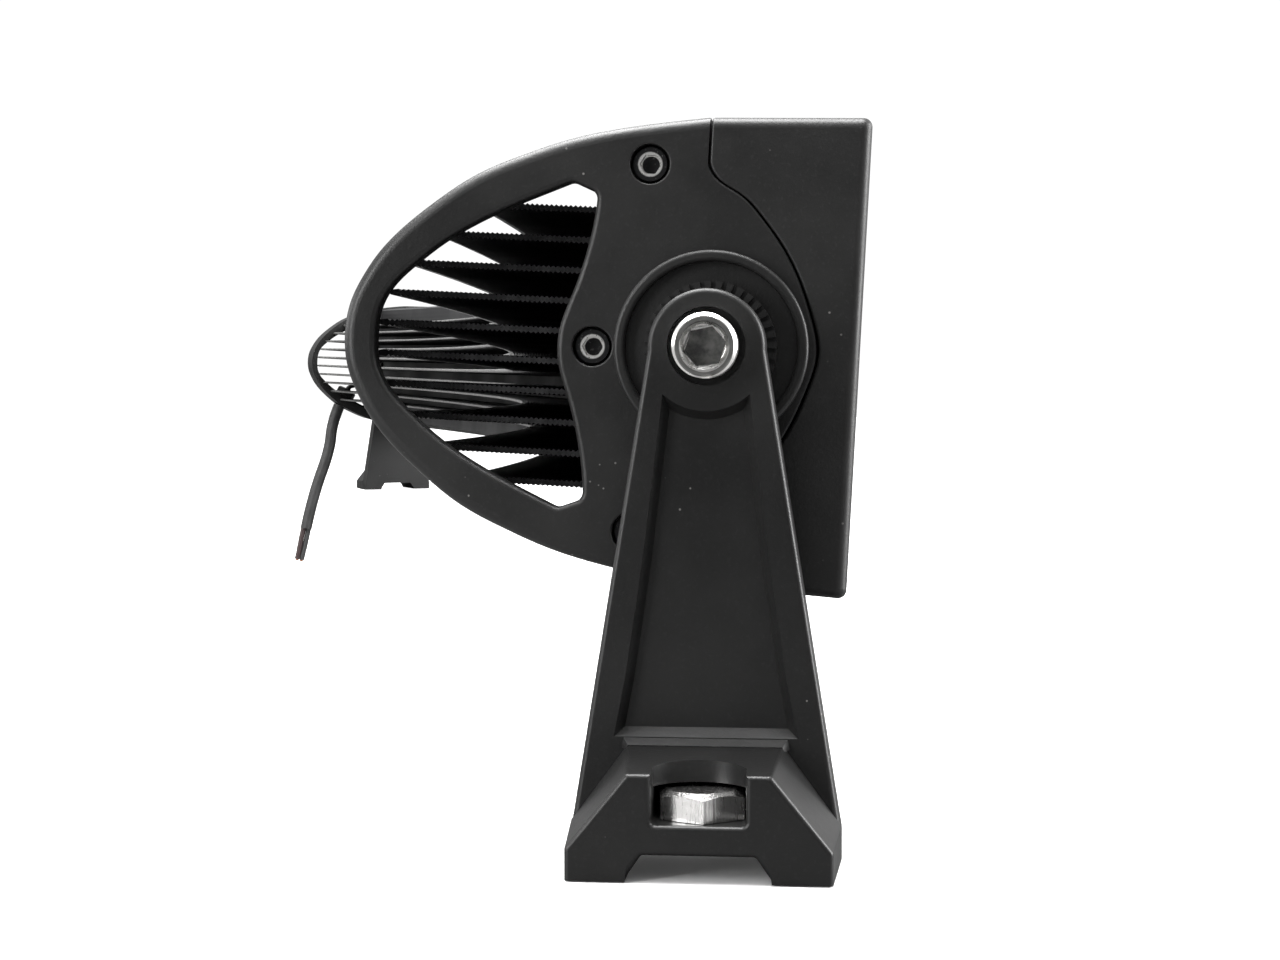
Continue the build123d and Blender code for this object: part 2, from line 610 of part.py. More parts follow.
# ---------------------------------------------------------------- power cable
# points in the ring's middle plane: (ahead, up) from where it leaves the band
CABLE_UW = [(0, 0), (-5.0, -11.6), (-6.4, -28.4), (-17.6, -57.2), (-22.6, -79.0)]
exit_w = LAMP * Location(rp(GLAND_A, GLAND_B, GLAND_S))
EX = Vector(*exit_w.position)
CABLE_PTS = [EX + Vector(u * sin(TH), -u * cos(TH), w) for u, w in CABLE_UW]
runs = [(b - a).length for a, b in zip(CABLE_PTS, CABLE_PTS[1:])]
turns = [(CABLE_PTS[i] - CABLE_PTS[i - 1]).get_angle(CABLE_PTS[i + 1] - CABLE_PTS[i])
         for i in range(1, len(CABLE_PTS) - 1)]
radii = [0.45 * min(runs[i], runs[i + 1]) / tan(radians(t) / 2) for i, t in enumerate(turns)]
print("cable points", [tuple(round(c, 2) for c in p) for p in CABLE_PTS])
print("cable runs", [round(r, 1) for r in runs], "turns", [round(t, 1) for t in turns],
      "radii", [round(r, 1) for r in radii])

with BuildPart() as power_cable:
    with BuildLine() as cable_line:
        FilletPolyline(*CABLE_PTS, radius=radii)
    with BuildSketch(Plane(origin=CABLE_PTS[0], z_dir=(CABLE_PTS[1] - CABLE_PTS[0]).normalized())):
        Circle(CABLE_D / 2)
    sweep(path=cable_line.line)
cable_len = sum(e.length for e in cable_line.edges())
print("cable length", round(cable_len, 2), "volume", round(power_cable.part.volume, 1),
      "section x length", round(pi * CABLE_D ** 2 / 4 * cable_len, 1))

tip = CABLE_PTS[-1]
tip_dir = (CABLE_PTS[-1] - CABLE_PTS[-2]).normalized()
core_x = Vector(sin(TH), -cos(TH), 0)
core_x = (core_x - tip_dir * core_x.dot(tip_dir)).normalized()
with BuildPart() as cable_cores:
    with BuildSketch(Plane(origin=tip + tip_dir * 0.05, x_dir=core_x, z_dir=tip_dir)):
        with Locations((1.8, 0), (-1.8, 0)):
            Circle(CORE_D / 2)
    extrude(amount=22.0)

# ---------------------------------------------------------------- chamber wires
def dp(x, y, z):
    return drv.origin + drv.x_dir * x + drv.y_dir * y + Vector(0, 0, z)


with BuildPart() as internal_leads:
    for p in ([rp(-8, -13.4, -18.6), rp(-8, -13.4, -23.5), rp(-5.5, -29.4, -35), dp(75.3, 3.5, 2.6)],
              [rp(-8, -10.6, -19.4), rp(-4.6, -10.6, -25.5), rp(-1, -29.4, -35), dp(75.3, -0.5, 2.6)]):
        with BuildLine() as wire:
            FilletPolyline(*p, radius=[2.6, 5.0])
        with BuildSketch(Plane(origin=p[0], z_dir=(p[1] - p[0]).normalized())):
            Circle(CORE_IN - 0.2)
        sweep(path=wire.line)

# ================================================================ brackets
# the bracket stands upright; only its pivot features follow the tilted axis

def bracket_plane(s=0.0):
    """Left bracket, upright: x ahead, y up from the pivot, z outboard."""
    o = Vector(-CHORD / 2, Y_PIVOT, PIVOT_H)
    z = Vector(-cos(TH), sin(TH), 0)
    return Plane(origin=o + z * s, x_dir=(-sin(TH), -cos(TH), 0), z_dir=z)


def pivot_plane(s=0.0):
    """Square to the left pivot's own axis, in the row frame."""
    o = Vector(*(LAMP * Location(end_plane().origin + Vector(0, 0, PIVOT_B))).position)
    zt = Vector(-cos(TH), sin(TH) * cos(radians(TILT)), sin(TH) * sin(radians(TILT)))
    return Plane(origin=o + zt * s, x_dir=Vector(-sin(TH), -cos(TH), 0), z_dir=zt)


def half_w(w):
    return LEG_TOP_R * 1.0 + LEG_FLARE * abs(w)


FT = -(PIVOT_H)                          # foot plane, seen from the pivot
with BuildPart() as left_bracket:
    # leg
    with BuildSketch(bracket_plane(LEG_S0)) as leg:
        with BuildLine():
            ThreePointArc((-half_w(0), -0.5), (0, LEG_TOP_R), (half_w(0), -0.5))
            Polyline((half_w(0), -0.5), (half_w(-78), -78), (half_w(-78), FT),
                     (-half_w(-78), FT), (-half_w(-78), -78), (-half_w(0), -0.5))
        make_face()
    extrude(amount=LEG_S1 - LEG_S0)
    leg_faces = left_bracket.faces().sort_by(Axis(bracket_plane().origin, bracket_plane().z_dir))
    fillet(leg_faces[-1].edges().filter_by(lambda e: (e @ 0.5).Z > 0.5), radius=0.9)
    # foot: narrower towards its front, sloped shoulders
    with BuildSketch(bracket_plane(LEG_S1 - 1)):
        with BuildLine():
            Polyline((-12.5, -63.6), (12.5, -63.6), (21.9, -76.5), (21.9, FT), (-21.9, FT),
                     (-21.9, -76.5), (-12.5, -63.6))
        make_face()
    with BuildSketch(bracket_plane(FOOT_S1)):
        with BuildLine():
            Polyline((-11.1, -65.4), (11.1, -65.4), (20.6, -77.0), (20.6, FT), (-20.6, FT),
                     (-20.6, -77.0), (-11.1, -65.4))
        make_face()
    loft()
    # sunk panel between the side rails
    with BuildSketch(bracket_plane(LEG_S1)) as panel:
        with BuildLine():
            Polyline((-7.0, -7.4), (-10.2, -34.1), (-12.9, -52.6), (-14.8, -62.6), (14.8, -62.6),
                     (12.9, -52.6), (10.2, -34.1), (7.0, -7.4), close=True)
        make_face()
        Circle(10.2, mode=Mode.SUBTRACT)
    extrude(amount=-2.0, taper=34, mode=Mode.SUBTRACT)
    # soft root between the panel and the foot
    with BuildSketch(bracket_plane(12.0)):
        with BuildLine():
            Polyline((-14.2, -61.6), (14.2, -61.6), (14.6, -63.2), (14.6, -64.4), (-14.6, -64.4),
                     (-14.6, -63.2), (-14.2, -61.6))
        make_face()
    with BuildSketch(bracket_plane(15.6)):
        with BuildLine():
            Polyline((-12.4, -63.7), (12.4, -63.7), (12.5, -64.0), (12.6, -64.5), (-12.6, -64.5),
                     (-12.5, -64.0), (-12.4, -63.7))
        make_face()
    loft()
    # arch under the foot
    with BuildSketch(bracket_plane(LEG_S0 - 1)):
        with BuildLine():
            Polyline((-11.4, FT - 1), (-11.2, FT + 0.6), (-8.8, -77.9), (8.8, -77.9),
                     (11.2, FT + 0.6), (11.4, FT - 1), close=True)
        make_face()
    extrude(amount=FOOT_S1 + 2, mode=Mode.SUBTRACT)
    # pocket and hole for the foot bolt
    top_pl = Plane(origin=bracket_plane(FOOT_BOLT_S).origin + Vector(0, 0, -73.2),
                   x_dir=(-sin(TH), -cos(TH), 0), z_dir=(0, 0, 1))
    with BuildSketch(top_pl):
        with BuildLine():
            Polyline((-7.3, 3.4), (-7.3, -20), (7.3, -20), (7.3, 3.4))
            ThreePointArc((-7.3, 3.4), (0, 7.7), (7.3, 3.4))
        make_face()
    extrude(amount=5.2, mode=Mode.SUBTRACT)
    with BuildSketch(top_pl):
        with BuildLine():
            Polyline((-7.3, -4.1), (-7.3, -20), (7.3, -20), (7.3, -4.1))
            ThreePointArc((-7.3, -4.1), (0, 0.4), (7.3, -4.1))
        make_face()
    extrude(amount=30, mode=Mode.SUBTRACT)
    with BuildSketch(top_pl):
        Circle(FOOT_HOLE_R)
    extrude(amount=-12, mode=Mode.SUBTRACT)
    # the foot's front and shoulders are rounded over
    bp = bracket_plane()
    fillet(left_bracket.edges().filter_by(lambda e: (
        (e @ 0.5).Z > 1.0 and all(abs((e @ t - bp.origin).dot(bp.z_dir) - FOOT_S1) < 0.05 for t in (0, 1)))
        or (4.0 < (e @ 0.5).Z and abs((e @ 0 - e @ 1).dot(bp.z_dir)) > 10)), radius=0.8)
    # pad round the pivot, square to the pivot axis
    with BuildSketch(pivot_plane(4.5)):
        Circle(9.0)
    extrude(amount=4.0)
    with BuildSketch(pivot_plane(2)):
        Circle(BOLT_R + 0.08)
    extrude(amount=20, mode=Mode.SUBTRACT)
    with BuildSketch(pivot_plane(11.3)):
        Circle(6.3)
    extrude(amount=8, mode=Mode.SUBTRACT)

with BuildPart() as left_foot_bolt:
    with BuildSketch(top_pl.offset(0.1)):
        RegularPolygon(6.5, 6, major_radius=False, rotation=96)
    extrude(amount=4.4)
    with BuildSketch(top_pl.offset(0.1)):
        Circle(FOOT_BOLT_R)
    extrude(amount=-5.5)
# the head's corners are turned down to a cone
with BuildPart() as head_cone:
    with BuildSketch(top_pl.offset(-7)):
        Circle(9.0)
    extrude(amount=9.75)
    with BuildSketch(top_pl.offset(2.75)):
        Circle(9.0)
    extrude(amount=1.75, taper=62)
left_foot_bolt.part = left_foot_bolt.part & head_cone.part

right_bracket = mirror_part(left_bracket)
right_foot_bolt = mirror_part(left_foot_bolt)

# ================================================================ write
lamp_pieces = {
    "heat_sink": heat_sink, "bezel": bezel, "bezel_screws": bezel_screws, "lens": lens,
    "lens_gasket": lens_gasket, "thermal_pad": thermal_pad, "led_board": led_board,
    "led_emitters": led_emitters, "reflectors": reflectors, "driver_board": driver_board,
    "left_end_frame": left_end_frame, "right_end_frame": right_end_frame,
    "left_front_cover": left_front_cover, "right_front_cover": right_front_cover,
    "left_end_plate": left_end_plate, "right_end_plate": right_end_plate,
    "left_end_gasket": left_end_gasket, "right_end_gasket": right_end_gasket,
    "left_end_screws": left_end_screws, "right_end_screws": right_end_screws,
    "left_cover_screws": left_cover_screws, "right_cover_screws": right_cover_screws,
    "left_pivot_bolt": left_pivot_bolt, "right_pivot_bolt": right_pivot_bolt,
    "left_pivot_washer": left_pivot_washer, "right_pivot_washer": right_pivot_washer,
    "breather_vent": breather_vent,
    "lead_grommet": lead_grommet, "cable_gland": cable_gland, "gland_seal": gland_seal,
    "inner_leads": inner_leads, "internal_leads": internal_leads,
}
for piece_name, piece in lamp_pieces.items():
    piece.part = LAMP * piece.part
    piece.part.label = piece_name
    export_step(piece.part, "parts/" + piece_name + ".step")

world_pieces = {
    "power_cable": power_cable, "cable_cores": cable_cores,
    "left_bracket": left_bracket, "right_bracket": right_bracket,
    "left_foot_bolt": left_foot_bolt, "right_foot_bolt": right_foot_bolt,
}
for piece_name, piece in world_pieces.items():
    piece.part.label = piece_name
    export_step(piece.part, "parts/" + piece_name + ".step")

pz = pivot_plane(0)
print("pivot left", tuple(round(c, 4) for c in pz.origin), "axis", tuple(round(c, 6) for c in pz.z_dir))
print("foot bolts x", round(CHORD / 2 + FOOT_BOLT_S * cos(TH), 3), "R", round(R_BOW, 1))
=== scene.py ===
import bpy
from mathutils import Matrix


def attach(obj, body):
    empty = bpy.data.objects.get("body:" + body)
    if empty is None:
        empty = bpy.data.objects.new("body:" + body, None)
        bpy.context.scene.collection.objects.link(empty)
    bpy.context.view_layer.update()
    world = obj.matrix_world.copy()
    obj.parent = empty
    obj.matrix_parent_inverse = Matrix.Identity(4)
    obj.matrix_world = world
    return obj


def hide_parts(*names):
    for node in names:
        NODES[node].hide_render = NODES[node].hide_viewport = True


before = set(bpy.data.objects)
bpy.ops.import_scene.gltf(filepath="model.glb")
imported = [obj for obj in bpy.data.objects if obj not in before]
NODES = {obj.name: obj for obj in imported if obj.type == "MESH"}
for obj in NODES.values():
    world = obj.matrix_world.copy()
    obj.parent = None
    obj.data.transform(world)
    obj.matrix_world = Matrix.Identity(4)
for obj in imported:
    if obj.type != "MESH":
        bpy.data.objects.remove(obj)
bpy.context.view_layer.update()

import math
import bpy
import bmesh
from mathutils import Matrix, Vector, noise

scene = bpy.context.scene

# ------------------------------------------------------------------ camera
# Looks along the bar from just beyond its left end.
C = Vector((-0.885234, 0.062289, 0.078296))
F = Vector((0.986089, -0.158233, -0.050910)).normalized()
RT = Vector((-0.158438, -0.987369, 0.0)).normalized()
UP = RT.cross(F).normalized()
cam_data = bpy.data.cameras.new("camera")
cam_data.lens = 60.47
cam_data.sensor_width = 36.0
cam_data.sensor_fit = "HORIZONTAL"
cam_data.clip_start = 0.01
cam_data.clip_end = 20.0
cam = bpy.data.objects.new("camera", cam_data)
cam.matrix_world = Matrix(((RT.x, UP.x, -F.x, C.x), (RT.y, UP.y, -F.y, C.y), (RT.z, UP.z, -F.z, C.z), (0, 0, 0, 1)))
scene.collection.objects.link(cam)
scene.camera = cam

# ------------------------------------------------------------------ power lead
CABLE_D = 0.0072
POINT_RADIUS = 0.01    # keeps the curve's bounding box close to the tube
ROUTE = [
    (0.51856, 0.03396, 0.0556),
    (0.51731, 0.03880, 0.0440),
    (0.51696, 0.04016, 0.0272),
    (0.51415, 0.05100, -0.0016),
    (0.51290, 0.05584, -0.0234),
]
curve = bpy.data.curves.new("power_lead", "CURVE")
curve.dimensions = "3D"
curve.resolution_u = 24
curve.bevel_depth = CABLE_D / 2 / POINT_RADIUS
curve.bevel_resolution = 8
curve.use_fill_caps = True
spline = curve.splines.new("NURBS")
spline.points.add(len(ROUTE) - 1)
for point, place in zip(spline.points, ROUTE):
    point.co = (*place, 1.0)
    point.radius = POINT_RADIUS
spline.order_u = 3
spline.use_endpoint_u = True
lead = bpy.data.objects.new("power_lead", curve)
scene.collection.objects.link(lead)
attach(lead, "lamp")
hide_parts("power_cable")

# ------------------------------------------------------------------ lamp frame
# Bow geometry in metres: a is ahead of the pivot, b is up, s is outboard.
CHORD, THETA = 1.070, math.radians(14.5)
R_BOW = CHORD / 2 / math.sin(THETA)
YC = R_BOW * math.cos(THETA)
Y_PIVOT, PIVOT_H, PIVOT_B, TILT = -0.005884, 0.082, 0.0007, math.radians(3)
CT, ST = math.cos(TILT), math.sin(TILT)


def lamp(p):
    x, y, z = p
    z -= PIVOT_B
    return Vector((x, Y_PIVOT + y * CT - z * ST, PIVOT_H + y * ST + z * CT))


def end_point(side, a, b, s):
    """A point of an end, side -1 on the left and 1 on the right."""
    x = CHORD / 2 + a * math.sin(THETA) + s * math.cos(THETA)
    y = -a * math.cos(THETA) + s * math.sin(THETA)
    return lamp((side * x, y, b))


def bow_point(phi, a, b):
    r = R_BOW + a
    return lamp((r * math.sin(phi), YC - r * math.cos(phi), b))


def bracket_point(side, u, w, s):
    """A point of a bracket: u ahead, w up from the pivot, s outboard."""
    x = CHORD / 2 + u * math.sin(THETA) + s * math.cos(THETA)
    y = -u * math.cos(THETA) + s * math.sin(THETA)
    return Vector((side * x, Y_PIVOT + y, PIVOT_H + w))


def end_axes(side):
    """Directions ahead, up and outboard of the lamp's end."""
    o = end_point(side, 0, 0, 0)
    return [(end_point(side, *d) - o).normalized() for d in ((1, 0, 0), (0, 1, 0), (0, 0, 1))]


# ------------------------------------------------------------------ materials
class Mat:
    """A short way to write node materials."""

    def __init__(self, name):
        self.mat = bpy.data.materials.new(name)
        self.mat.use_nodes = True
        self.nt = self.mat.node_tree
        self.out = self.nt.nodes["Material Output"]
        self.bsdf = self.nt.nodes["Principled BSDF"]
        self.coord = self.node("ShaderNodeTexCoord").outputs["Object"]

    def node(self, kind, **props):
        n = self.nt.nodes.new(kind)
        for k, v in props.items():
            setattr(n, k, v)
        return n

    def put(self, socket, value):
        if isinstance(value, bpy.types.NodeSocket):
            self.nt.links.new(value, socket)
        elif value is not None:
            if hasattr(socket.default_value, "__len__") and not hasattr(value, "__len__"):
                value = (value,) * 3 + ((1.0,) if len(socket.default_value) == 4 else ())
            elif hasattr(value, "__len__") and len(socket.default_value) == 4 and len(value) == 3:
                value = (*value, 1.0)
            socket.default_value = value

    def math(self, op, a, b=None, c=None, clamp=False):
        n = self.node("ShaderNodeMath", operation=op, use_clamp=clamp)
        for i, v in enumerate((a, b, c)):
            if v is not None:
                self.put(n.inputs[i], v)
        return n.outputs[0]

    def vec(self, op, a, b=None):
        n = self.node("ShaderNodeVectorMath", operation=op)
        self.put(n.inputs[0], a)
        if b is not None:
            self.put(n.inputs[1], b)
        return n.outputs["Value"] if op in ("LENGTH", "DOT_PRODUCT", "DISTANCE") else n.outputs["Vector"]

    def ramp(self, value, lo, hi, a=0.0, b=1.0):
        n = self.node("ShaderNodeMapRange", clamp=True, interpolation_type="SMOOTHSTEP")
        for i, v in enumerate((value, lo, hi, a, b)):
            self.put(n.inputs[i], v)
        return n.outputs[0]

    def noise(self, scale, detail=3.0, rough=0.5, coord=None, distort=0.0):
        n = self.node("ShaderNodeTexNoise")
        self.put(n.inputs["Vector"], coord or self.coord)
        self.put(n.inputs["Scale"], scale)
        self.put(n.inputs["Detail"], detail)
        self.put(n.inputs["Roughness"], rough)
        self.put(n.inputs["Distortion"], distort)
        return n.outputs["Fac"]

    def voronoi(self, scale, coord=None, feature="F1"):
        n = self.node("ShaderNodeTexVoronoi", feature=feature)
        self.put(n.inputs["Vector"], coord or self.coord)
        self.put(n.inputs["Scale"], scale)
        return n.outputs

    def mix(self, fac, a, b):
        n = self.node("ShaderNodeMix", data_type="RGBA")
        self.put(n.inputs[0], fac)
        self.put(n.inputs[6], a)
        self.put(n.inputs[7], b)
        return n.outputs[2]

    def bump(self, height, distance, strength=1.0, normal=None):
        n = self.node("ShaderNodeBump")
        self.put(n.inputs["Strength"], strength)
        self.put(n.inputs["Distance"], distance)
        self.put(n.inputs["Height"], height)
        if normal is not None:
            self.put(n.inputs["Normal"], normal)
        return n.outputs[0]

    def axis_distance(self, points, axis):
        """Distance to the nearest of some parallel lines."""
        best = None
        for p in points:
            d = self.vec("LENGTH", self.vec("CROSS_PRODUCT", self.vec("SUBTRACT", self.coord, tuple(p)), tuple(axis)))
            best = d if best is None else self.math("MINIMUM", best, d)
        return best

    def set(self, **values):
        names = {"color": "Base Color", "rough": "Roughness", "metal": "Metallic", "normal": "Normal",
                 "spec": "Specular IOR Level", "coat": "Coat Weight", "coat_rough": "Coat Roughness",
                 "transmission": "Transmission Weight", "ior": "IOR", "alpha": "Alpha", "aniso": "Anisotropic",
                 "emission": "Emission Color", "glow": "Emission Strength"}
        for k, v in values.items():
            self.put(self.bsdf.inputs[names[k]], v)
        return self.mat

    def lamp_coords(self):
        """Sockets for the bow's own coordinates: radius ahead of the pivot line (m), angle and height b."""
        sep = self.node("ShaderNodeSeparateXYZ")
        self.put(sep.inputs[0], self.coord)
        x = sep.outputs[0]
        dy = self.math("SUBTRACT", sep.outputs[1], Y_PIVOT)
        dz = self.math("SUBTRACT", sep.outputs[2], PIVOT_H)
        y = self.math("ADD", self.math("MULTIPLY", dy, CT), self.math("MULTIPLY", dz, ST))
        b = self.math("ADD", self.math("SUBTRACT", self.math("MULTIPLY", dz, CT), self.math("MULTIPLY", dy, ST)), PIVOT_B)
        yy = self.math("SUBTRACT", YC, y)
        r = self.math("SQRT", self.math("ADD", self.math("MULTIPLY", x, x), self.math("MULTIPLY", yy, yy)))
        return self.math("SUBTRACT", r, R_BOW), self.math("ARCTAN2", x, yy), b


def powder_coat(name, base=0.0100, grain=1.0, rough=0.42, dust=1.0):
    """Black powder coat: a fine leathery grain, faint cloudiness, and a few specks of dust."""
    m = Mat(name)
    grain_n = m.noise(1500, 2.0, 0.55)
    fine = m.noise(5200, 2.0, 0.5)
    cloud = m.noise(38, 4.0, 0.6)
    speck = m.voronoi(420)["Distance"]
    pick = m.noise(95, 1.0, 0.5)
    specks = m.math("MULTIPLY", m.ramp(speck, 0.10, 0.055), m.ramp(pick, 0.60, 0.66))
    tone = m.mix(m.ramp(cloud, 0.3, 0.7), (base * 0.82,) * 3, (base * 1.25, base * 1.24, base * 1.22))
    tone = m.mix(m.math("MULTIPLY", m.ramp(grain_n, 0.55, 0.75), 0.35), tone, (base * 2.4,) * 3)
    tone = m.mix(m.math("MULTIPLY", specks, 0.55 * dust), tone, (0.30, 0.29, 0.28))
    r = m.ramp(cloud, 0.25, 0.75, rough - 0.05, rough + 0.07)
    r = m.math("ADD", r, m.math("MULTIPLY", specks, 0.2))
    h = m.math("ADD", grain_n, m.math("MULTIPLY", fine, 0.35))
    return m.set(color=tone, rough=r, spec=0.42, normal=m.bump(h, 0.00005 * grain, 0.5))


def set_material(names, mat):
    for n in names:
        mesh = NODES[n].data
        if not mesh.materials:
            mesh.materials.append(mat)
        for i in range(len(mesh.materials)):
            mesh.materials[i] = mat


casting = powder_coat("casting_powder_coat")
# painted light and painted shade: the covers take a lighter copy of the black powder coat and the brackets a darker
# one, for how much light falls on each
cover_lit_coat = powder_coat("cover_powder_coat_painted_light", base=0.013, rough=0.43)
bracket_shaded_coat = powder_coat("bracket_powder_coat_painted_shade", base=0.0082, rough=0.40)
bezel_coat = powder_coat("bezel_powder_coat", base=0.011, rough=0.46, dust=0.4)

# extruded heat sink: fine ribs on the fins, with a painted highlight along their rear edges
m = Mat("heat_sink_anodised")
ra, phi, rb = m.lamp_coords()
ribs = m.math("SINE", m.math("MULTIPLY", ra, 2 * math.pi / 0.0063))
draw = m.node("ShaderNodeCombineXYZ")
m.put(draw.inputs[0], m.math("MULTIPLY", phi, 3.0))
m.put(draw.inputs[1], m.math("MULTIPLY", ra, 900.0))
m.put(draw.inputs[2], m.math("MULTIPLY", rb, 900.0))
streak = m.noise(1.0, 3.0, 0.6, coord=draw.outputs[0])
cloud = m.noise(30, 3.0, 0.5)
tone = m.mix(m.ramp(streak, 0.35, 0.7), (0.011, 0.011, 0.012), (0.022, 0.022, 0.023))
tone = m.mix(m.math("MULTIPLY", m.ramp(ribs, 0.2, 1.0), 0.5), tone, (0.035, 0.035, 0.036))
fin_h = m.math("ADD", m.math("MULTIPLY", ribs, 0.5), m.math("MULTIPLY", streak, 0.3))
heat_mat = m.set(color=tone, rough=m.ramp(cloud, 0.3, 0.7, 0.34, 0.46), metal=0.35, spec=0.5, normal=m.bump(fin_h, 0.00006, 0.6))


def metal(name, color, rough, centres, axis, rings=0.0, grain=1.0, wear=0.0):
    """Turned metal: faint rings about its axis and soft stains."""
    m = Mat(name)
    d = m.axis_distance(centres, axis)
    ring = m.noise(1.0, 2.0, 0.6, coord=combine(m, m.math("MULTIPLY", d, 9000.0), 0.0, 0.0))
    stain = m.noise(420, 4.0, 0.6)
    tone = m.mix(m.ramp(stain, 0.35, 0.7), color, tuple(c * 0.72 for c in color))
    tone = m.mix(m.math("MULTIPLY", ring, rings), tone, tuple(c * 0.5 for c in color))
    r = m.math("ADD", m.ramp(stain, 0.3, 0.75, rough * 0.8, rough * 1.35), m.math("MULTIPLY", ring, 0.08))
    h = m.math("ADD", m.math("MULTIPLY", ring, 0.7), m.math("MULTIPLY", m.noise(2600, 3.0, 0.6), 0.5 * grain))
    return m.set(color=tone, rough=r, metal=1.0, normal=m.bump(h, 0.00004, 0.5))


def combine(m, x, y, z):
    n = m.node("ShaderNodeCombineXYZ")
    for i, v in enumerate((x, y, z)):
        m.put(n.inputs[i], v)
    return n.outputs[0]


for side, word in ((-1, "left"), (1, "right")):
    ax = end_axes(side)
    pivot = bracket_point(side, 0, 0, 0)
    out = (bracket_point(side, 0, 0, 1) - pivot).normalized()
    # pivot bolt: polished chamfers, a satin face ring painted a darker grey as painted shade, and a hexagon socket
    # painted darker still as painted shade in its recess
    m = Mat(f"{word}_stainless")
    rel = m.vec("SUBTRACT", m.coord, tuple(pivot))
    ahead = (bracket_point(side, 1, 0, 0) - pivot).normalized()
    upward = out.cross(ahead) if out.cross(ahead).z > 0 else -out.cross(ahead)
    u = m.vec("DOT_PRODUCT", rel, tuple(ahead))
    v = m.vec("DOT_PRODUCT", rel, tuple(upward))
    d = m.axis_distance([pivot], out)
    hexa = None
    for k in range(3):
        t = math.radians(42 + 60 * k)
        e = m.math("ABSOLUTE", m.math("ADD", m.math("MULTIPLY", u, math.cos(t)), m.math("MULTIPLY", v, math.sin(t))))
        hexa = e if hexa is None else m.math("MAXIMUM", hexa, e)
    # painted shade: the hexagon socket's colour is darkened for the shade inside it
    socket = m.ramp(hexa, 0.00306, 0.00296)
    # painted shade: the face ring round the socket is coloured a darker grey than the polished metal
    face = m.math("MULTIPLY", m.ramp(d, 0.00392, 0.00400), m.ramp(d, 0.00474, 0.00464))
    ring = m.noise(1.0, 2.0, 0.6, coord=combine(m, m.math("MULTIPLY", d, 9000.0), 0.0, 0.0))
    stain = m.noise(520, 4.0, 0.6)
    tone = m.mix(m.ramp(stain, 0.35, 0.7), (0.97, 0.96, 0.94), (0.84, 0.83, 0.81))
    tone = m.mix(face, tone, m.mix(ring, (0.30, 0.30, 0.29), (0.18, 0.18, 0.175)))
    tone = m.mix(socket, tone, m.mix(m.ramp(stain, 0.3, 0.7), (0.12, 0.12, 0.12), (0.26, 0.26, 0.25)))
    r = m.math("ADD", m.ramp(stain, 0.3, 0.75, 0.26, 0.36), m.math("MULTIPLY", m.math("MAXIMUM", face, socket), 0.08))
    h = m.math("ADD", m.math("MULTIPLY", ring, 0.7), m.math("MULTIPLY", m.noise(2600, 3.0, 0.6), 0.5))
    set_material([f"{word}_pivot_bolt"], m.set(color=tone, rough=r, metal=1.0, normal=m.bump(h, 0.00004, 0.5)))
    set_material([f"{word}_pivot_washer"], metal(f"{word}_washer_zinc", (0.50, 0.50, 0.49), 0.38, [pivot], out, rings=0.2))

    # black screws with the coating chipped off round the socket
    m = Mat(f"{word}_black_screw")
    centres = [end_point(side, a, b, 0) for a, b in ((-0.0199, 0), (-0.0118, 0.0306), (-0.0118, -0.0306))]
    d = m.axis_distance(centres, ax[2])
    edge = m.math("MULTIPLY", m.ramp(d, 0.00140, 0.00155), m.ramp(d, 0.00215, 0.00190))
    chips = m.math("MULTIPLY", edge, m.ramp(m.noise(2600, 4.0, 0.7), 0.33, 0.42))
    rub = m.math("MULTIPLY", m.ramp(m.noise(1900, 4.0, 0.7), 0.60, 0.70), 0.2)
    bare = m.math("MAXIMUM", chips, rub)
    tone = m.mix(bare, (0.022, 0.022, 0.023), (0.95, 0.94, 0.92))
    set_material([f"{word}_end_screws", f"{word}_cover_screws"],
                 m.set(color=tone, rough=m.ramp(bare, 0, 1, 0.42, 0.3), metal=0.85,
                       normal=m.bump(m.noise(3500, 3.0, 0.6), 0.00003, 0.5)))

    # zinc-plated hexagon bolt: vertical draw marks on the flats
    m = Mat(f"{word}_zinc_bolt")
    flat = m.vec("MULTIPLY", m.coord, (1.0, 1.0, 0.06))
    streaks = m.noise(2200, 4.0, 0.65, coord=flat)
    stain = m.noise(260, 4.0, 0.6)
    tone = m.mix(m.ramp(streaks, 0.38, 0.66), (0.93, 0.92, 0.90), (0.50, 0.49, 0.485))
    tone = m.mix(m.ramp(stain, 0.62, 0.80), tone, (0.34, 0.33, 0.32))
    set_material([f"{word}_foot_bolt"],
                 m.set(color=tone, rough=m.ramp(streaks, 0.3, 0.7, 0.16, 0.30), metal=1.0,
                       normal=m.bump(streaks, 0.00005, 0.6)))

set_material(["left_end_frame", "right_end_frame"], casting)
set_material(["left_front_cover", "right_front_cover"], cover_lit_coat)
set_material(["left_bracket", "right_bracket"], bracket_shaded_coat)
set_material(["left_end_plate", "right_end_plate"], powder_coat("end_plate_coat", base=0.009, rough=0.5, dust=0.3))
set_material(["bezel"], bezel_coat)
set_material(["heat_sink"], heat_mat)

# bezel screws
m = Mat("bezel_screw_black")
n1 = m.noise(2400, 4.0, 0.7)
set_material(["bezel_screws"], m.set(color=m.mix(m.ramp(n1, 0.56, 0.68), (0.02, 0.02, 0.021), (0.30, 0.30, 0.29)),
                                     rough=m.ramp(n1, 0.3, 0.7, 0.35, 0.5), metal=0.85, normal=m.bump(n1, 0.00003, 0.5)))

# clear polycarbonate lens with a faint mould texture
m = Mat("lens_clear")
n1 = m.noise(60, 3.0, 0.5)
n2 = m.noise(900, 2.0, 0.5)
set_material(["lens"], m.set(color=m.mix(n1, (0.97, 0.985, 0.985), (0.93, 0.955, 0.96)),
                             rough=m.ramp(n1, 0.3, 0.7, 0.015, 0.05), transmission=1.0, ior=1.49,
                             normal=m.bump(n2, 0.00001, 0.15)))

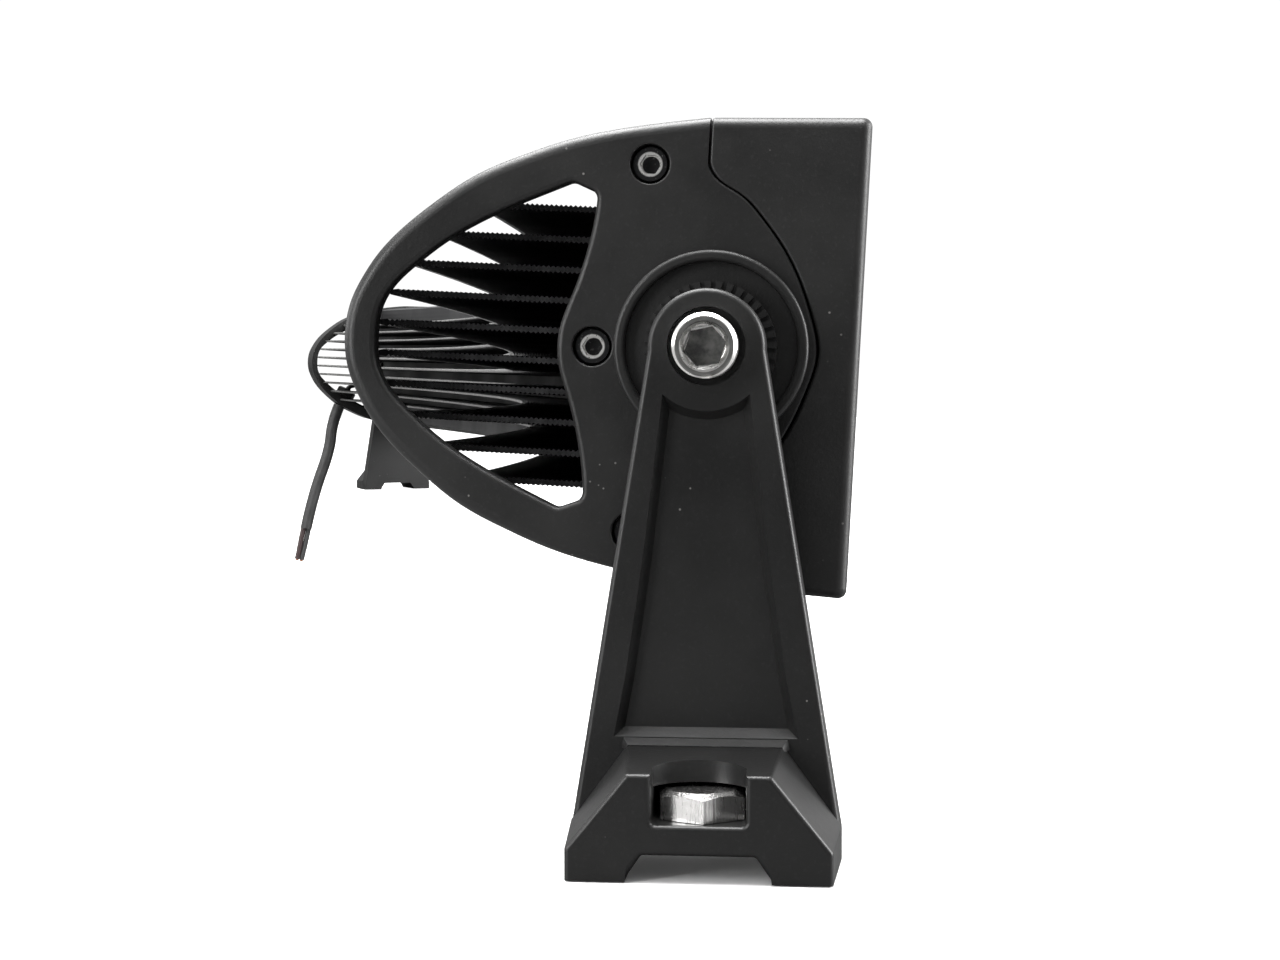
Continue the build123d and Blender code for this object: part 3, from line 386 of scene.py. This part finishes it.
# rubber seals
m = Mat("seal_rubber")
n1 = m.noise(1800, 3.0, 0.6)
set_material(["lens_gasket", "left_end_gasket", "right_end_gasket", "lead_grommet", "gland_seal"],
             m.set(color=m.mix(n1, (0.012, 0.012, 0.012), (0.03, 0.03, 0.03)), rough=m.ramp(n1, 0.3, 0.7, 0.6, 0.8),
                   normal=m.bump(n1, 0.00005, 0.5)))

# thermal pad, boards
m = Mat("thermal_pad_grey")
n1 = m.noise(1200, 3.0, 0.6)
set_material(["thermal_pad"], m.set(color=m.mix(n1, (0.25, 0.26, 0.28), (0.36, 0.37, 0.39)), rough=0.8, normal=m.bump(n1, 0.00005, 0.4)))
m = Mat("board_white")
ra, phi, rb = m.lamp_coords()
tracks = m.math("MULTIPLY", m.ramp(m.math("ABSOLUTE", m.math("SINE", m.math("MULTIPLY", rb, 900.0))), 0.93, 0.97), 0.6)
n1 = m.noise(500, 3.0, 0.5)
set_material(["led_board"], m.set(color=m.mix(tracks, m.mix(n1, (0.78, 0.78, 0.76), (0.70, 0.70, 0.68)), (0.55, 0.54, 0.50)),
                                  rough=m.ramp(n1, 0.3, 0.7, 0.35, 0.5), normal=m.bump(tracks, 0.00004, 0.5)))
m = Mat("board_green")
n1 = m.noise(700, 3.0, 0.5)
set_material(["driver_board"], m.set(color=m.mix(n1, (0.01, 0.10, 0.04), (0.015, 0.14, 0.06)), rough=m.ramp(n1, 0.3, 0.7, 0.3, 0.45),
                                     normal=m.bump(n1, 0.00005, 0.4)))

# LED packages: pale ceramic with a yellow phosphor window
m = Mat("led_package")
ra, phi, rb = m.lamp_coords()
arc = m.math("MULTIPLY", phi, R_BOW)
cell = m.math("SUBTRACT", m.math("MULTIPLY", m.math("FRACT", m.math("DIVIDE", arc, 0.0256)), 0.0256), 0.0128)
row = m.math("SUBTRACT", m.math("ABSOLUTE", rb), 0.0175)
rad = m.math("SQRT", m.math("ADD", m.math("MULTIPLY", cell, cell), m.math("MULTIPLY", row, row)))
n1 = m.noise(2200, 3.0, 0.5)
yellow = m.mix(n1, (0.85, 0.55, 0.06), (0.95, 0.70, 0.14))
set_material(["led_emitters"], m.set(color=m.mix(m.ramp(rad, 0.0014, 0.0013), m.mix(n1, (0.80, 0.79, 0.75), (0.70, 0.69, 0.66)), yellow),
                                     rough=m.ramp(n1, 0.3, 0.7, 0.25, 0.4), normal=m.bump(n1, 0.00002, 0.3)))

# vacuum-metallised reflectors, with faint orange peel and a little haze
m = Mat("reflector_metallised")
n1 = m.noise(260, 3.0, 0.5)
n2 = m.noise(1800, 2.0, 0.5)
set_material(["reflectors"], m.set(color=m.mix(n1, (0.86, 0.87, 0.88), (0.78, 0.79, 0.80)), metal=1.0,
                                   rough=m.ramp(n2, 0.3, 0.7, 0.06, 0.14), normal=m.bump(n1, 0.00004, 0.25)))

# moulded nylon: gland and breather
m = Mat("nylon_black")
n1 = m.noise(1500, 3.0, 0.6)
set_material(["cable_gland", "breather_vent"], m.set(color=m.mix(n1, (0.012, 0.012, 0.013), (0.026, 0.026, 0.026)),
                                                    rough=m.ramp(n1, 0.3, 0.7, 0.4, 0.55), normal=m.bump(n1, 0.00006, 0.5)))

# lead: matt PVC with faint drawing marks; cores
m = Mat("cable_sheath_pvc")
n1 = m.noise(1400, 3.0, 0.6)
n2 = m.noise(140, 3.0, 0.6)
sheath = m.set(color=m.mix(m.ramp(n2, 0.35, 0.7), (0.014, 0.014, 0.014), (0.027, 0.027, 0.027)),
               rough=m.ramp(n1, 0.3, 0.7, 0.42, 0.58), normal=m.bump(n1, 0.00006, 0.5))
curve.materials.append(sheath)
m = Mat("core_sheath_black")
n1 = m.noise(1800, 3.0, 0.6)
core_black = m.set(color=m.mix(n1, (0.015, 0.015, 0.015), (0.03, 0.03, 0.03)), rough=m.ramp(n1, 0.3, 0.7, 0.35, 0.5),
                   normal=m.bump(n1, 0.00005, 0.4))
set_material(["inner_leads", "internal_leads", "cable_cores"], core_black)

# ------------------------------------------------------------------ heat sink
# The extrusion with the fine serrations that run along both faces of every fin.
D_OUT = [(-0.0622, 0), (-0.0613, 0.006), (-0.0595, 0.010), (-0.0573, 0.0136), (-0.0535, 0.018), (-0.048, 0.0228),
         (-0.0406, 0.028), (-0.033, 0.0315), (-0.027, 0.0338), (-0.015, 0.0368), (-0.0022, 0.0388)]
FIN_T, FIN_PITCH, FIN_INSET, BAR_END = 0.0013, 0.00527, 0.0029, 0.0136


def a_out(b):
    for (a0, b0), (a1, b1) in zip(D_OUT, D_OUT[1:]):
        if b0 <= abs(b) <= b1:
            return a0 + (a1 - a0) * (abs(b) - b0) / (b1 - b0)
    return D_OUT[-1][0]


def fin_loop(b, rear):
    """Closed outline of one fin, and the numbers of the segments on its rear edge."""
    step, deep, half = 0.00042, 0.00034, FIN_T / 2
    count = int((-0.0196 - rear - 0.0007) / step)
    upper = [(-0.0196 - i * step, b + half - (deep if i % 2 else 0.0)) for i in range(count)]
    lower = [(x, 2 * b - y) for x, y in upper]
    nose = [(rear + 0.00025, b + half - 0.0002), (rear, b + half * 0.45), (rear, b - half * 0.45),
            (rear + 0.00025, b - half + 0.0002)]
    loop = upper + nose + lower[::-1]
    return loop, set(range(count - 1, count + 4))


body_loop = [(-0.0200, 0.0346), (-0.0130, 0.0362), (0.0, 0.0379), (0.0135, 0.0386), (0.0135, 0.0328),
             (-0.0155, 0.0328), (-0.0155, -0.0328), (0.0135, -0.0328), (0.0135, -0.0386), (0.0, -0.0379),
             (-0.0130, -0.0362), (-0.0200, -0.0346)]
loops = [(body_loop, set())]
for i in range(5):
    at = (i + 0.5) * FIN_PITCH
    rear = a_out(at + FIN_T / 2) + FIN_INSET
    if rear < -0.0225:
        loops += [fin_loop(at, rear), fin_loop(-at, rear)]
SECTIONS = 41
reach = THETA - BAR_END / R_BOW
verts, faces, kinds = [], [], []
for loop, highlight_segments in loops:
    first, n = len(verts), len(loop)
    for j in range(SECTIONS):
        ph = -reach + 2 * reach * j / (SECTIONS - 1)
        verts += [bow_point(ph, a, b) for a, b in loop]
    for j in range(SECTIONS - 1):
        for k in range(n):
            k2 = (k + 1) % n
            faces.append((first + j * n + k, first + j * n + k2, first + (j + 1) * n + k2, first + (j + 1) * n + k))
            # faces on a fin's rear edge take the painted-highlight material
            kinds.append(1 if k in highlight_segments else 0)
    faces.append(tuple(first + k for k in reversed(range(n))))
    faces.append(tuple(first + (SECTIONS - 1) * n + k for k in range(n)))
    kinds += [0, 0]
me = bpy.data.meshes.new("finned_heat_sink")
me.from_pydata(verts, [], faces)
bm = bmesh.new()
bm.from_mesh(me)
bmesh.ops.recalc_face_normals(bm, faces=bm.faces)
bm.to_mesh(me)
bm.free()
me.materials.append(heat_mat)
# painted highlight: the fins' rear-edge faces are coloured light grey for the light they catch
m = Mat("fin_edge_painted_highlight")
n1 = m.noise(900, 4.0, 0.65)
n2 = m.noise(55, 3.0, 0.6)
painted_highlight_edge = m.set(color=m.mix(m.ramp(n1, 0.35, 0.65), (0.16, 0.16, 0.16), (0.42, 0.42, 0.41)),
                  rough=m.ramp(n2, 0.3, 0.7, 0.32, 0.5), metal=0.8, normal=m.bump(n1, 0.00005, 0.5))
me.materials.append(painted_highlight_edge)
me.polygons.foreach_set("material_index", kinds)
me.shade_smooth()
me.set_sharp_from_angle(angle=math.radians(25))
sink = bpy.data.objects.new("finned_heat_sink", me)
scene.collection.objects.link(sink)
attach(sink, "lamp")
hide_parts("heat_sink")

# ------------------------------------------------------------------ bared cores
def tube(path, radius, sides=20):
    """A tube along points, with closed ends."""
    bm = bmesh.new()
    rings = []
    for i, p in enumerate(path):
        d = (path[min(i + 1, len(path) - 1)] - path[max(i - 1, 0)]).normalized()
        u = d.orthogonal().normalized() if i == 0 else (u - d * u.dot(d)).normalized()
        v = d.cross(u)
        r = radius[i] if isinstance(radius, list) else radius
        rings.append([bm.verts.new(p + (u * math.cos(t) + v * math.sin(t)) * r)
                      for t in (2 * math.pi * k / sides for k in range(sides))])
    for a, b in zip(rings, rings[1:]):
        for k in range(sides):
            bm.faces.new((a[k], a[(k + 1) % sides], b[(k + 1) % sides], b[k]))
    bm.faces.new(rings[0][::-1])
    bm.faces.new(rings[-1])
    bmesh.ops.recalc_face_normals(bm, faces=bm.faces)
    return bm


m = Mat("copper_strands")
n1 = m.noise(5000, 3.0, 0.6, coord=m.vec("MULTIPLY", m.coord, (1.0, 1.0, 0.2)))
copper = m.set(color=m.mix(n1, (0.72, 0.33, 0.18), (0.42, 0.17, 0.09)), rough=m.ramp(n1, 0.3, 0.7, 0.25, 0.45), metal=1.0,
               normal=m.bump(n1, 0.00004, 0.6))
m = Mat("core_sheath_red")
n1 = m.noise(1800, 3.0, 0.6)
core_red = m.set(color=m.mix(n1, (0.019, 0.011, 0.011), (0.030, 0.014, 0.013)), rough=m.ramp(n1, 0.3, 0.7, 0.35, 0.5),
                 normal=m.bump(n1, 0.00005, 0.4))
end = Vector(ROUTE[-1])
along = (end - Vector(ROUTE[-2])).normalized()
across = Vector((math.sin(THETA), -math.cos(THETA), 0.0))
across = (across - along * across.dot(along)).normalized()
for sgn, sheath_mat, word in ((1, core_black, "black"), (-1, core_red, "red")):
    o0 = end + across * (0.00168 * sgn) - along * 0.0003
    path, radii = [], []
    for i in range(15):
        t = i / 14
        wob = 0.00025 * math.sin(3.1 * t + sgn) * t
        path.append(o0 + along * (0.0205 * t) + across * wob)
        radii.append(0.00165 + 0.00003 * noise.noise(Vector((9 * t, sgn, 0))))
    path += [path[-1] + along * 0.00012]
    radii += [0.00150]
    bm = tube(path, radii)
    me = bpy.data.meshes.new(word + "_core")
    bm.to_mesh(me)
    bm.free()
    me.materials.append(sheath_mat)
    # seven cut copper strands show at the tip
    me.materials.append(copper)
    tip = bmesh.new()
    tip.from_mesh(me)
    for k in range(7):
        off = Vector((0, 0, 0)) if k == 0 else (across * math.cos(k * math.pi / 3) + along.cross(across) * math.sin(k * math.pi / 3)) * 0.00068
        strand = tube([path[-1] + off - along * 0.0004, path[-1] + off + along * 0.0009, path[-1] + off + along * 0.0010],
                      [0.00033, 0.00033, 0.00026], 8)
        temp = bpy.data.meshes.new("temp")
        strand.to_mesh(temp)
        strand.free()
        count = len(tip.faces)
        tip.from_mesh(temp)
        tip.faces.ensure_lookup_table()
        for f in tip.faces[count:]:
            f.material_index = 1
        bpy.data.meshes.remove(temp)
    tip.to_mesh(me)
    tip.free()
    me.shade_smooth()
    me.set_sharp_from_angle(angle=math.radians(40))
    core = bpy.data.objects.new(word + "_core", me)
    scene.collection.objects.link(core)
    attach(core, "lamp")
    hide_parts("cable_cores")

# smooth shading with the real edges kept sharp
for o in NODES.values():
    if not o.data.has_custom_normals:
        o.data.shade_smooth()
        o.data.set_sharp_from_angle(angle=math.radians(28))

# ------------------------------------------------------------------ stage
def stage_plane(name, x0, x1, y0, y1, z, mat):
    me = bpy.data.meshes.new(name)
    me.from_pydata([(x0, y0, z), (x1, y0, z), (x1, y1, z), (x0, y1, z)], [], [(0, 1, 2, 3)])
    me.materials.append(mat)
    o = bpy.data.objects.new(name, me)
    scene.collection.objects.link(o)
    return o


def white_surface(name, value, lift, shade_at=None):
    """A pale surface, clear from below. It shows its shadows only round shade_at."""
    m = Mat(name)
    back = m.node("ShaderNodeNewGeometry").outputs["Backfacing"]
    n1 = m.noise(3.0, 2.0, 0.5)
    col = m.mix(n1, (value,) * 3, (value * 0.985,) * 3)
    seen = m.node("ShaderNodeLightPath").outputs["Is Camera Ray"]
    if shade_at:
        near = m.vec("LENGTH", m.vec("SUBTRACT", m.coord, shade_at))
        lift = m.ramp(near, 0.026, 0.060, 0.04, lift)
    m.set(color=m.mix(seen, (0.16, 0.16, 0.16), col), rough=0.9, spec=0.0, emission=(1.0, 1.0, 1.0),
          glow=m.math("MULTIPLY", seen, lift))
    clear = m.node("ShaderNodeBsdfTransparent")
    mixer = m.node("ShaderNodeMixShader")
    m.nt.links.new(back, mixer.inputs[0])
    m.nt.links.new(m.bsdf.outputs[0], mixer.inputs[1])
    m.nt.links.new(clear.outputs[0], mixer.inputs[2])
    m.nt.links.new(mixer.outputs[0], m.out.inputs["Surface"])
    return m.mat


floor = stage_plane("floor", -6, 6, -6, 6, -0.075, white_surface("floor_white", 0.85, 0.95))
board = stage_plane("mounting_board", -0.66, 0.66, -0.11, 0.032, -0.0002,
                    white_surface("board_white_paint", 0.85, 0.95, shade_at=(-0.5577, 0.0, 0.0)))
board.visible_shadow = False

world = bpy.data.worlds.new("studio")
world.use_nodes = True
scene.world = world
wn = world.node_tree
bg = wn.nodes["Background"]
tc = wn.nodes.new("ShaderNodeTexCoord")
sep = wn.nodes.new("ShaderNodeSeparateXYZ")
wn.links.new(tc.outputs["Generated"], sep.inputs[0])


def world_range(socket, lo, hi, a, b):
    n = wn.nodes.new("ShaderNodeMapRange")
    n.interpolation_type = "SMOOTHSTEP"
    for i, v in enumerate((lo, hi, a, b)):
        n.inputs[i + 1].default_value = v
    wn.links.new(socket, n.inputs[0])
    return n.outputs[0]


def world_add(a, b):
    n = wn.nodes.new("ShaderNodeMath")
    n.operation = "ADD"
    wn.links.new(a, n.inputs[0])
    wn.links.new(b, n.inputs[1])
    return n.outputs[0]


# the room is dim behind the camera and bright overhead and beyond the lamp
room = world_add(world_range(sep.outputs[2], 0.2, 0.9, 0.13, 1.0), world_range(sep.outputs[0], -0.1, 0.8, 0.0, 0.30))
path = wn.nodes.new("ShaderNodeLightPath")
pick = wn.nodes.new("ShaderNodeMix")
pick.data_type = "FLOAT"
wn.links.new(path.outputs["Is Camera Ray"], pick.inputs[0])
wn.links.new(room, pick.inputs[2])
pick.inputs[3].default_value = 1.05
wn.links.new(pick.outputs[0], bg.inputs["Strength"])
bg.inputs["Color"].default_value = (1, 1, 1, 1)


def area(name, place, target, size, power, size_y=None):
    d = bpy.data.lights.new(name, "AREA")
    d.energy = power
    d.shape = "RECTANGLE"
    d.size = size
    d.size_y = size_y or size
    o = bpy.data.objects.new(name, d)
    o.location = place
    o.rotation_mode = "QUATERNION"
    o.rotation_quaternion = (Vector(target) - Vector(place)).to_track_quat("-Z", "Y")
    scene.collection.objects.link(o)
    o.visible_camera = False
    return o


area("top_strip", (-0.22, 0.12, 1.15), (-0.15, 0.0, 0.0), 1.3, 46, 0.55)
area("top_near", (-0.50, 0.55, 1.10), (-0.5, 0.0, 0.06), 0.5, 7, 0.35)
area("left_strip", (-1.15, 1.35, 0.45), (-0.5, 0, 0.08), 0.40, 17, 1.1)
area("right_strip", (-0.70, -1.25, 0.36), (-0.5, 0, 0.08), 0.50, 30, 1.1)
area("rear_soft", (0.3, 1.8, 0.5), (0.0, 0, 0.08), 1.6, 12, 0.6)
area("front_soft", (0.2, -1.8, 0.7), (0.1, 0, 0.08), 1.6, 12, 0.8)

scene.view_settings.view_transform = "Standard"
scene.view_settings.look = "None"
